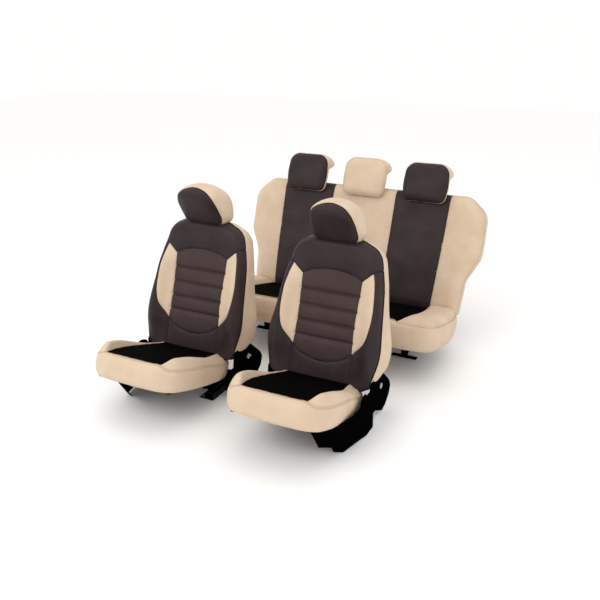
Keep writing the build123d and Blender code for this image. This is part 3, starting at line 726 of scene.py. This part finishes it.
LOW_HALF = [(0.055, 0.051), (0.110, 0.071), LOW_TIP]
YOKE_TOP, LOW_BOTTOM = (0, 0.464), (0, 0.044)
BACK_FRONT_EDGE = 0.004  # the rim of the face
BACK_LEAN = 0.038  # the rim's way to the rear further up
BACK_EDGE_ROLL = 0.042
BOLSTER_MIDDLE, BOLSTER_WIDTH = 0.232, 0.050
BOLSTER_HEIGHT, BOLSTER_LOSS = 0.040, 0.010  # at the bottom, and how much less further up
BEIGE_FROM = -0.004  # the side band is dark below this
BACK_REAR = -0.146
BACK_REAR_PUFF = 0.005


def bell(x, middle, width):
    """Smooth bump of height 1."""
    return math.exp(-(((x - middle) / width) ** 2))


def roll(t):
    """Quarter round from 0 at the edge to 1."""
    t = min(1.0, max(0.0, t))
    return math.sqrt(1 - (1 - t) ** 2)


def back_seams(step):
    """Seams of the front backrest's face by name."""
    both = {}
    for name, points in (
        ("inner", INNER_EDGE), ("outer", OUTER_EDGE), ("slant", [V_CORNER, TOP_TIP]),
        ("shoulder", SHOULDER), ("lower", LOWER_SEAM),
    ):
        line = smooth_line(points, step)
        both[name + "_right"] = line
        both[name + "_left"] = mirror_points(line)
    both["yoke"] = smooth_line(mirror_points(reversed(YOKE_HALF)) + [YOKE_TOP] + YOKE_HALF, step)
    both["arc"] = smooth_line(mirror_points(reversed(LOW_HALF)) + [LOW_BOTTOM] + LOW_HALF, step)
    for i, q in enumerate(CHANNELS):
        half = inner_half(q)
        both[f"channel_{i}"] = smooth_line([(-half, q), (0, q), (half, q)], step)
    return both


def inner_half(q):
    """Half width of the centre panel at height q."""
    points = sorted(INNER_EDGE, key=lambda point: point[1])
    for low, high in zip(points, points[1:]):
        if low[1] <= q <= high[1]:
            return low[0] + (high[0] - low[0]) * (q - low[1]) / (high[1] - low[1])
    return points[-1][0]


def build_front_backrest():
    """Backrest cover: yoke, channelled centre, beige inserts, bolsters and a beige side band."""
    outline = rounded(
        BACK_CORNERS + mirror_points(reversed(BACK_CORNERS)), BACK_RADII + BACK_RADII[::-1], BACK_STEP,
    )
    seams = back_seams(BACK_STEP)
    edge = Line(outline, True)
    lines = [Line(seam) for seam in seams.values()]
    channels = [Line(seams[f"channel_{i}"]) for i in range(len(CHANNELS))]

    insert = list(seams["outer_right"]) + list(reversed(seams["inner_right"])) + list(seams["slant_right"])
    centre = (
        list(seams["yoke"]) + list(seams["inner_right"]) + list(reversed(seams["arc"]))
        + list(reversed(seams["inner_left"]))
    )

    def face(p, q):
        side = abs(p)
        rim = BACK_FRONT_EDGE - BACK_LEAN * smoothstep(0.12, 0.44, q)
        tall = BOLSTER_HEIGHT - BOLSTER_LOSS * smoothstep(0.15, 0.35, q)
        ends = smoothstep(-0.04, 0.11, q) * (1 - smoothstep(0.34, 0.53, q))
        bolster = tall * bell(side, BOLSTER_MIDDLE, BOLSTER_WIDTH) * ends
        middle = 1 - smoothstep(0.10, 0.19, side)
        lumbar = 0.010 * middle * bell(q, 0.17, 0.13) - 0.004 * middle * bell(q, 0.40, 0.10)
        crown = 0.006 * middle * smoothstep(0.44, 0.52, q)
        seam = nearest(lines, p, q)
        puff = 0.0060 * (1 - math.exp(-seam / 0.014)) - 0.0026 * bell(seam, 0, 0.0032)
        rib = nearest(channels, p, q)
        rib = -0.0050 * math.exp(-rib / 0.008) - 0.0034 * bell(rib, 0, 0.0036)
        height = bolster + lumbar + crown + puff + rib
        return rim + (height - rim) * roll(edge.distance(p, q) / BACK_EDGE_ROLL)

    def flare(q):
        """1 where the side grows wider to the rear, over the recliner plates."""
        return smoothstep(-0.02, 0.07, q) * (1 - smoothstep(0.12, 0.36, q))

    rings = [
        lambda p, q: (0.0050 + 0.003 * flare(q), -0.040),
        lambda p, q: (0.0030 + 0.014 * flare(q), -0.080),
        lambda p, q: (-0.0040 + 0.019 * flare(q), -0.116),
        lambda p, q: (-0.0140 + 0.015 * flare(q), -0.138),
        lambda p, q: (-0.0300, -0.147),
    ]

    def close(p, q, d):
        return BACK_REAR - BACK_REAR_PUFF * (1 - math.exp(-d / 0.04))

    def panel(p, q):
        if inside((abs(p), q), insert):
            return BEIGE
        return CENTRE if inside((p, q), centre) else DARK

    def band(p, q, k):
        """Beige sides and back over a dark strip beside the cushion."""
        return BEIGE if q > BEIGE_FROM or k > BAND_END else DARK

    cover = Cover(
        "front_backrest", tilted(0, 0, BACK_Z, BACK_TILT), outline, list(seams.values()), face, rings, close,
        panel, band, BACK_STEP,
    )
    cover.named = seams
    return cover


def back_trim(cover):
    """Piping and stitch meshes of the front backrest."""
    seams = cover.named

    def piping(bm):
        add_piping(bm, cover, cover.outline, EDGE_CORD, 0.3, closed=True)
        for name in ("yoke", "arc", "slant_left", "slant_right", "shoulder_left", "shoulder_right"):
            add_piping(bm, cover, seams[name], SEAM_CORD, 0.1)

    def dark(bm):
        for i in range(len(CHANNELS)):
            add_stitches(bm, cover, seams[f"channel_{i}"], 0.0)
        for name in ("yoke", "arc", "lower_left", "lower_right", "shoulder_left", "shoulder_right"):
            for aside in (-BESIDE_CORD, BESIDE_CORD):
                add_stitches(bm, cover, seams[name], aside)
        for side, sign in SIDES:
            add_stitches(bm, cover, seams[f"outer_{side}"], -0.0040 * sign)

    def beige(bm):
        for side, sign in SIDES:
            add_stitches(bm, cover, seams[f"inner_{side}"], -BESIDE_SEAM * sign)
            add_stitches(bm, cover, seams[f"outer_{side}"], BESIDE_SEAM * sign)

    return (
        mesh_from("back_piping", piping), mesh_from("back_dark_thread", dark),
        mesh_from("back_beige_thread", beige),
    )


# ---------------------------------------------------------------- front headrest

HEAD_STEP = 0.0044
HEAD_BOTTOM, HEAD_TOP = (0, 0.592), (0, 0.748)
HEAD_RIGHT = [
    (0.056, 0.5930), (0.094, 0.598), (0.1065, 0.617), (0.1075, 0.646), (0.104, 0.676),
    (0.090, 0.708), (0.063, 0.731), (0.026, 0.745),
]
HEAD_FRONT = 0.004  # the rim of the face at its bottom
HEAD_LEAN = 0.124  # and how much further forward it is at its top
HEAD_PUFF, HEAD_ROLL = 0.027, 0.055
HEAD_REAR, HEAD_REAR_PUFF = -0.082, 0.003


def build_front_headrest():
    """Headrest whose dark face leans forward and whose beige back wraps over the top and sides."""
    outline = both_sides(HEAD_BOTTOM, HEAD_RIGHT, HEAD_TOP, HEAD_STEP)
    edge = Line(outline, True)

    def rim(q):
        """The seam round the dark face lies further forward the higher it is."""
        return HEAD_FRONT + HEAD_LEAN * smoothstep(0.575, 0.730, q)

    def face(p, q):
        return rim(q) + HEAD_PUFF * roll(edge.distance(p, q) / HEAD_ROLL)

    def side(q):
        """0 at the bottom, which ends over the backrest, and 1 along the sides."""
        return smoothstep(0.598, 0.640, q)

    def top(q):
        return smoothstep(0.680, 0.745, q)

    rings = [
        lambda p, q: (0.002 + 0.010 * side(q) + 0.006 * top(q), rim(q) - 0.022),
        lambda p, q: (0.003 + 0.016 * side(q) + 0.011 * top(q), 0.66 * rim(q) - 0.026),
        lambda p, q: (0.018 * side(q) + 0.012 * top(q), 0.38 * rim(q) - 0.048),
        lambda p, q: (-0.008 + 0.016 * side(q) + 0.010 * top(q), 0.12 * rim(q) - 0.070),
        lambda p, q: (-0.022 + 0.010 * side(q), HEAD_REAR),
    ]

    def close(p, q, d):
        return HEAD_REAR - HEAD_REAR_PUFF * (1 - math.exp(-d / 0.02))

    return Cover(
        "front_headrest", tilted(0, 0, BACK_Z, BACK_TILT), outline, [], face, rings, close,
        lambda p, q: DARK, lambda p, q, k: BEIGE, HEAD_STEP,
    )


def head_trim(cover):
    """Piping round a headrest's face and beige stitches on the band beside it."""
    def piping(bm):
        add_piping(bm, cover, cover.outline, HEAD_CORD, 0.3, closed=True)

    def beige(bm):
        normals = outward(cover.outline)
        aside = [(p[0] + n.x * 0.001, p[1] + n.y * 0.001) for p, n in zip(cover.outline, normals)]
        add_stitches(bm, cover, aside, 0.0050)

    return mesh_from("head_piping", piping), mesh_from("head_thread", beige)


# ---------------------------------------------------------------- front cushion

CUSHION_STEP = 0.0055
CUSHION_NOSE, CUSHION_TAIL = (0, -0.474), (0, 0.040)
CUSHION_RIGHT = [
    (0.075, -0.472), (0.146, -0.466), (0.180, -0.459), (0.207, -0.438), (0.226, -0.400),
    (0.236, -0.345), (0.239, -0.270), (0.237, -0.180), (0.229, -0.090), (0.216, -0.010),
    (0.205, 0.026), (0.180, 0.040), (0.110, 0.040),
]
INSERT_EDGE = [
    (0.148, -0.466), (0.157, -0.432), (0.170, -0.385), (0.181, -0.330), (0.185, -0.270), (0.182, -0.200),
    (0.172, -0.120), (0.158, -0.040), (0.148, 0.040),
]
INSERT_CHANNELS = (-0.395, -0.325, -0.255, -0.185, -0.115)
CHANNEL_REACH = 0.006  # along the insert's edge, to find its width at a channel
CUSHION_BOTTOM = -0.128
CUSHION_HOLLOW = 0.004  # of the underside, inside its rim


def build_front_cushion():
    """Cushion cover: black insert with sewn channels, beige bolsters and skirt, open underneath."""
    outline = both_sides(CUSHION_NOSE, CUSHION_RIGHT, CUSHION_TAIL, CUSHION_STEP)
    seam = smooth_line(INSERT_EDGE, CUSHION_STEP)
    seams = {"right": seam, "left": mirror_points(seam)}
    channels = []
    for i, q in enumerate(INSERT_CHANNELS):
        half = min(v[0] for v in seam if abs(v[1] - q) < CHANNEL_REACH)
        channels.append(smooth_line([(-half, q), (0, q), (half, q)], CUSHION_STEP))
        seams[f"channel_{i}"] = channels[i]
    edge = Line(outline, True)
    sides = [Line(seams["right"]), Line(seams["left"])]
    ribs = [Line(channel) for channel in channels]
    insert = list(seams["right"]) + list(reversed(seams["left"]))

    def panel(p, q):
        return INSERT if inside((p, q), insert) else BEIGE

    def face(p, q):
        d = edge.distance(p, q)
        seam_distance = nearest(sides, p, q)
        rim = -0.003 - 0.018 * smoothstep(0.145, 0.200, abs(p))
        if panel(p, q) == INSERT:
            rib = nearest(ribs, p, q)
            height = -0.003 - 0.0020 * math.exp(-seam_distance / 0.01) - 0.0022 * math.exp(-rib / 0.006)
            return height - 0.003 * bell(q, -0.474, 0.02)
        tall = 0.032 * smoothstep(-0.478, -0.395, q) * (1 - 0.95 * smoothstep(-0.36, -0.10, q)) + 0.002
        bolster = (tall + 0.001) * roll(seam_distance / 0.026) * roll(d / 0.045)
        sink = -0.016 * smoothstep(-0.24, -0.02, q) * smoothstep(0.0, 0.04, seam_distance)
        return rim + (-0.005 - rim) * min(1, d / 0.02) + bolster + sink

    def front(p, q):
        """1 where the cover wraps over the front edge, 0 along the sides."""
        return (1 - smoothstep(-0.45, -0.36, q)) * (1 - 0.85 * smoothstep(0.12, 0.20, abs(p)))

    rings = [
        lambda p, q: (0.003 + 0.014 * front(p, q), face(p, q) - 0.014),
        lambda p, q: (0.004 + 0.022 * front(p, q), -0.044),
        lambda p, q: (0.003 + 0.022 * front(p, q), -0.080),
        lambda p, q: (-0.004 + 0.018 * front(p, q), -0.108),
        lambda p, q: (-0.018 + 0.008 * front(p, q), -0.124),
        lambda p, q: (-0.046, CUSHION_BOTTOM),
    ]

    def close(p, q, d):
        return CUSHION_BOTTOM + CUSHION_HOLLOW * smoothstep(0, 0.02, d)

    def band(p, q, k):
        """Lining below, and the insert runs down over the rear edge."""
        if k > BAND_END:
            return LINING
        return INSERT if q > 0.02 and abs(p) < 0.15 else BEIGE

    cover = Cover(
        "front_cushion", lying(0, 0, CUSHION_Z, CUSHION_TILT), outline, list(seams.values()), face, rings,
        close, panel, band, CUSHION_STEP,
    )
    cover.named = seams
    return cover


def cushion_trim(cover):
    """Beige piping along the ridge, stitches on it and along the insert."""
    def piping(bm):
        add_piping(bm, cover, cover.outline, CUSHION_CORD, 0.2, closed=True)

    def beige(bm):
        for side, sign in SIDES:
            add_stitches(bm, cover, cover.named[side], BESIDE_CORD * sign)
        for aside in (-0.0048, 0.0048):
            add_stitches(bm, cover, cover.outline, aside)

    def dark(bm):
        for name, seam in cover.named.items():
            if name.startswith("channel"):
                add_stitches(bm, cover, seam, 0.0)

    return (
        mesh_from("cushion_piping", piping), mesh_from("cushion_beige", beige),
        mesh_from("cushion_dark", dark),
    )


# ---------------------------------------------------------------- bench

BENCH_STEP = 0.0078
BENCH_CORNERS = [(0.640, -0.012), (0.652, 0.190), (0.718, 0.330), (0.716, 0.562), (0.614, 0.650)]
BENCH_RADII = [0.025, 0.120, 0.120, 0.100, 0.080]
INNER_SEAM = ((0.192, 0.650), (0.193, 0.400), (0.193, 0.200), (0.191, -0.012))
OUTER_SEAM = ((0.514, 0.650), (0.509, 0.400), (0.502, 0.200), (0.493, -0.012))
BENCH_RIM = -0.034  # of the backrest's face
BENCH_EDGE_ROLL = 0.060
BENCH_REAR, BENCH_REAR_PUFF = -0.118, 0.005
PLACE_MIDDLE = 0.352  # of an outer seating place


def build_bench_backrest():
    """Bench backrest cover: beige wings and middle, two dark columns, and a lining behind."""
    outline = rounded(
        BENCH_CORNERS + mirror_points(reversed(BENCH_CORNERS)), BENCH_RADII + BENCH_RADII[::-1], BENCH_STEP,
    )
    seams = {}
    for side, sign in SIDES:
        for name, points in (("inner", INNER_SEAM), ("outer", OUTER_SEAM)):
            seams[f"{name}_{side}"] = smooth_line([(sign * p, q) for p, q in points], BENCH_STEP)
    edge = Line(outline, True)
    lines = [Line(seam) for seam in seams.values()]

    def face(p, q):
        side = abs(p)
        seam = nearest(lines, p, q)
        puff = 0.006 * (1 - math.exp(-seam / 0.022)) - 0.0025 * bell(seam, 0, 0.003)
        wing = 0.012 * bell(side, 0.60, 0.075) * smoothstep(0.02, 0.16, q)
        seat = 0.010 * (bell(side, PLACE_MIDDLE, 0.12) + bell(side, 0, 0.12)) * bell(q, 0.20, 0.18)
        dip = -0.006 * bell(side, PLACE_MIDDLE, 0.15) * bell(q, 0.45, 0.12)
        height = puff + wing + seat + dip
        return BENCH_RIM + (height - BENCH_RIM) * roll(edge.distance(p, q) / BENCH_EDGE_ROLL)

    rings = [
        lambda p, q: (0.0050, -0.054),
        lambda p, q: (0.0052, -0.080),
        lambda p, q: (-0.0010, -0.104),
        lambda p, q: (-0.0160, -0.117),
        lambda p, q: (-0.0300, BENCH_REAR),
    ]

    def close(p, q, d):
        return BENCH_REAR - BENCH_REAR_PUFF * (1 - math.exp(-d / 0.05))

    def column(p, q):
        """Dark between the two seams on either side of the middle."""
        outer = 0.494 + 0.020 * min(1, max(0, q / 0.6))
        return DARK if 0.192 < abs(p) < outer else BEIGE

    cover = Cover(
        "bench_backrest", tilted(0, BENCH_Y, BENCH_Z, BENCH_TILT), outline, list(seams.values()), face, rings,
        close, column, lambda p, q, k: column(p, q) if k < 1 else LINING, BENCH_STEP,
    )
    cover.named = seams
    return cover


BENCH_NOSE, BENCH_TAIL = (0, -0.482), (0, -0.010)
BENCH_RIGHT = [
    (0.130, -0.482), (0.260, -0.482), (0.390, -0.482), (0.520, -0.482), (0.588, -0.474), (0.634, -0.440),
    (0.654, -0.380), (0.662, -0.300), (0.664, -0.200), (0.660, -0.100), (0.650, -0.030), (0.630, -0.012),
    (0.560, -0.010), (0.400, -0.010), (0.200, -0.010),
]
BENCH_INSERT_EDGE = [
    (0.455, -0.482), (0.478, -0.440), (0.500, -0.380), (0.512, -0.300), (0.512, -0.200), (0.504, -0.100),
    (0.492, -0.010),
]
BENCH_INSERT_AHEAD = -0.52  # the insert's corners, past the front edge
MIDDLE_SEAM = 0.165
BENCH_BOTTOM = -0.152


def build_bench_cushion():
    """Bench cushion cover: one black insert with two pressed seams, beige ends and front."""
    outline = both_sides(BENCH_NOSE, BENCH_RIGHT, BENCH_TAIL, BENCH_STEP)
    seam = smooth_line(BENCH_INSERT_EDGE, BENCH_STEP)
    seams = {"right": seam, "left": mirror_points(seam)}
    for side, p in (("a", MIDDLE_SEAM), ("b", -MIDDLE_SEAM)):
        seams[f"middle_{side}"] = smooth_line([(p, -0.482), (p, -0.250), (p, -0.010)], BENCH_STEP)
    edge = Line(outline, True)
    sides = [Line(seams["right"]), Line(seams["left"])]
    middles = [Line(seams["middle_a"]), Line(seams["middle_b"])]
    ahead = [Vector((sign * BENCH_INSERT_EDGE[0][0], BENCH_INSERT_AHEAD)) for sign in (-1, 1)]
    insert = ahead + list(seams["right"]) + list(reversed(seams["left"]))

    def panel(p, q):
        return INSERT if inside((p, q), insert) else BEIGE

    def face(p, q):
        d = edge.distance(p, q)
        seam_distance = nearest(sides, p, q)
        if panel(p, q) == INSERT:
            middle = nearest(middles, p, q)
            height = 0.002 - 0.004 * math.exp(-seam_distance / 0.014) - 0.004 * math.exp(-middle / 0.012)
            height += 0.004 * roll(d / 0.06) - 0.004
        else:
            tall = 0.026 * smoothstep(-0.490, -0.385, q)
            inner, outer = min(1, seam_distance / 0.045), min(1, d / 0.060)
            height = -0.002 + (tall + 0.006) * roll(inner) * roll(outer) - 0.016 * (1 - roll(outer))
        return height

    def front(q):
        """1 where the cover wraps over the front edge."""
        return 1 - smoothstep(-0.48, -0.36, q)

    rings = [
        lambda p, q: (0.009 + 0.012 * front(q), -0.020),
        lambda p, q: (0.012 + 0.020 * front(q), -0.054),
        lambda p, q: (0.010 + 0.022 * front(q), -0.096),
        lambda p, q: (0.000 + 0.014 * front(q), -0.132),
        lambda p, q: (-0.020, -0.149),
        lambda p, q: (-0.046, BENCH_BOTTOM),
    ]

    def close(p, q, d):
        return BENCH_BOTTOM + CUSHION_HOLLOW * smoothstep(0, 0.02, d)

    def band(p, q, k):
        return BEIGE if k < BAND_END else LINING

    cover = Cover(
        "bench_cushion", lying(0, BENCH_Y, BENCH_CUSHION_Z, BENCH_CUSHION_TILT), outline,
        list(seams.values()), face, rings, close, panel, band, BENCH_STEP,
    )
    cover.named = seams
    return cover


BENCH_HEAD_STEP = 0.0052
BENCH_HEAD_CORNERS = [(0.117, 0.594), (0.1285, 0.692), (0.117, 0.802)]
BENCH_HEAD_RADII = [0.034, 0.300, 0.074]
BENCH_HEAD_RIM = 0.036
BENCH_HEAD_CROWN, BENCH_HEAD_MIDDLE = 0.066, 0.692
BENCH_HEAD_ROLL = 0.034


def build_bench_headrest():
    """Headrest that stands in front of the backrest and hooks over its top edge."""
    outline = rounded(
        BENCH_HEAD_CORNERS + mirror_points(reversed(BENCH_HEAD_CORNERS)),
        BENCH_HEAD_RADII + BENCH_HEAD_RADII[::-1], BENCH_HEAD_STEP,
    )
    edge = Line(outline, True)

    def face(p, q):
        crown = BENCH_HEAD_CROWN - 0.60 * p * p - (q - BENCH_HEAD_MIDDLE) ** 2
        return BENCH_HEAD_RIM + (crown - BENCH_HEAD_RIM) * roll(edge.distance(p, q) / BENCH_HEAD_ROLL)

    def back(q):
        """Height of the rear side: on the backrest below, further back above its edge."""
        return 0.006 - 0.102 * smoothstep(0.716, 0.774, q)

    def hook(q):
        """1 where the headrest reaches over the backrest."""
        return smoothstep(0.71, 0.79, q)

    rings = [
        lambda p, q: (0.002 + 0.006 * hook(q), 0.030),
        lambda p, q: (0.002 + 0.012 * hook(q), 0.5 * (BENCH_HEAD_RIM + back(q))),
        lambda p, q: (0.010 * hook(q), 0.2 * BENCH_HEAD_RIM + 0.8 * back(q)),
        lambda p, q: (-0.012, back(q)),
    ]

    def close(p, q, d):
        return back(q) + 0.002 * smoothstep(0, 0.02, d)

    return Cover(
        "bench_headrest", tilted(0, BENCH_Y, BENCH_Z, BENCH_TILT), outline, [], face, rings, close,
        lambda p, q: DARK, lambda p, q, k: BEIGE, BENCH_HEAD_STEP,
    )


# ---------------------------------------------------------------- everything in its place

def dress_nodes(looks):
    """Materials of the frames, pins, posts and other nodes that keep their own shape."""
    for name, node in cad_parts.items():
        ending = name.split("_", 1)[1]
        if ending in NODE_LOOKS:
            node.data.materials.clear()
            node.data.materials.append(looks[NODE_LOOKS[ending]])


def front_seats(looks):
    """Covers of both front seats, from one set of meshes."""
    panels = [looks[key] for key in PANELS]
    back = build_front_backrest()
    head = build_front_headrest()
    cushion = build_front_cushion()
    for cover in (back, head, cushion):
        cover.settle(FRONT_UNEVEN)
    pieces = (
        ("backrest", back, "backrest", 0.85, ("backrest_cover", "backrest_foam"), back_trim(back), (
            ("piping", "piping"), ("dark_thread", "thread_dark"), ("beige_thread", "thread_beige"),
        )),
        ("headrest", head, "headrest", 0.9, ("headrest_cover", "headrest_core"), head_trim(head), (
            ("piping", "piping"), ("thread", "thread_beige"),
        )),
        ("cushion", cushion, "seat", 0.85, ("cushion_cover", "cushion_foam"), cushion_trim(cushion), (
            ("piping", "beige_piping"), ("beige_thread", "thread_beige"), ("dark_thread", "thread_dark"),
        )),
    )
    for side, x in (("left", PAIR_X - SEAT_HALF_SPACING), ("right", PAIR_X + SEAT_HALF_SPACING)):
        spot = (x, FRONT_Y, 0)
        for part, cover, body, fill, nodes, meshes, trims in pieces:
            body = f"{side}_{body}"
            piece = put(f"{side}_{part}", cover.mesh, panels, body, spot)
            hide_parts(*[f"{side}_{node}" for node in nodes])
            for mesh, (trim, look) in zip(meshes, trims):
                put(f"{side}_{part}_{trim}", mesh, [looks[look]], body, spot)


def bench_back_trim(back, looks):
    """Stitches along the bench backrest's seams and piping round its edge."""
    def thread(bm):
        for side, sign in SIDES:
            add_stitches(bm, back, back.named[f"inner_{side}"], BENCH_BESIDE_SEAM * sign)
            add_stitches(bm, back, back.named[f"outer_{side}"], -BENCH_BESIDE_SEAM * sign)

    def piping(bm):
        add_piping(bm, back, back.outline, BENCH_CORD, 0.3, closed=True)

    body = "bench_backrest"
    put("bench_backrest_thread", mesh_from("bench_thread", thread), [looks["thread_beige"]], body)
    put("bench_backrest_piping", mesh_from("bench_piping", piping), [looks["beige_piping"]], body)


def bench_headrests(head, looks):
    """The three headrests: the outer ones with a dark face, the middle one beige."""
    head_piping, head_thread = head_trim(head)
    for side, x in (("left", -BENCH_HEAD_X), ("centre", 0), ("right", BENCH_HEAD_X)):
        body, spot = f"bench_headrest_{side}", (x, 0, 0)
        front, cord = ("beige", "beige_piping") if side == "centre" else ("dark", "piping")
        panels = [looks[key] for key in (front, *PANELS[1:])]
        piece = put(f"{body}_visual", head.mesh.copy(), panels, body, spot)
        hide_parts(f"bench_headrest_cover_{side}", f"bench_headrest_core_{side}")
        put(f"{body}_piping", head_piping.copy(), [looks[cord]], body, spot)
        put(f"{body}_thread", head_thread.copy(), [looks["thread_beige"]], body, spot)


def bench(looks):
    """Covers of the bench."""
    panels = [looks[key] for key in PANELS]
    back = build_bench_backrest()
    cushion = build_bench_cushion()
    head = build_bench_headrest()
    for cover in (back, cushion, head):
        cover.settle(BENCH_UNEVEN)

    piece = put("bench_backrest_visual", back.mesh, panels, "bench_backrest")
    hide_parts("bench_backrest_cover", "bench_backrest_foam")

    piece = put("bench_cushion", cushion.mesh, panels, "floor_frame")
    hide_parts("bench_cushion_cover", "bench_cushion_foam")

    bench_back_trim(back, looks)
    piping, beige_thread, _ = cushion_trim(cushion)
    put("bench_cushion_piping", piping, [looks["beige_piping"]], "floor_frame")
    put("bench_cushion_beige_thread", beige_thread, [looks["thread_beige"]], "floor_frame")
    bench_headrests(head, looks)


make_camera()
make_studio()
materials = make_materials()
dress_nodes(materials)
front_seats(materials)
bench(materials)
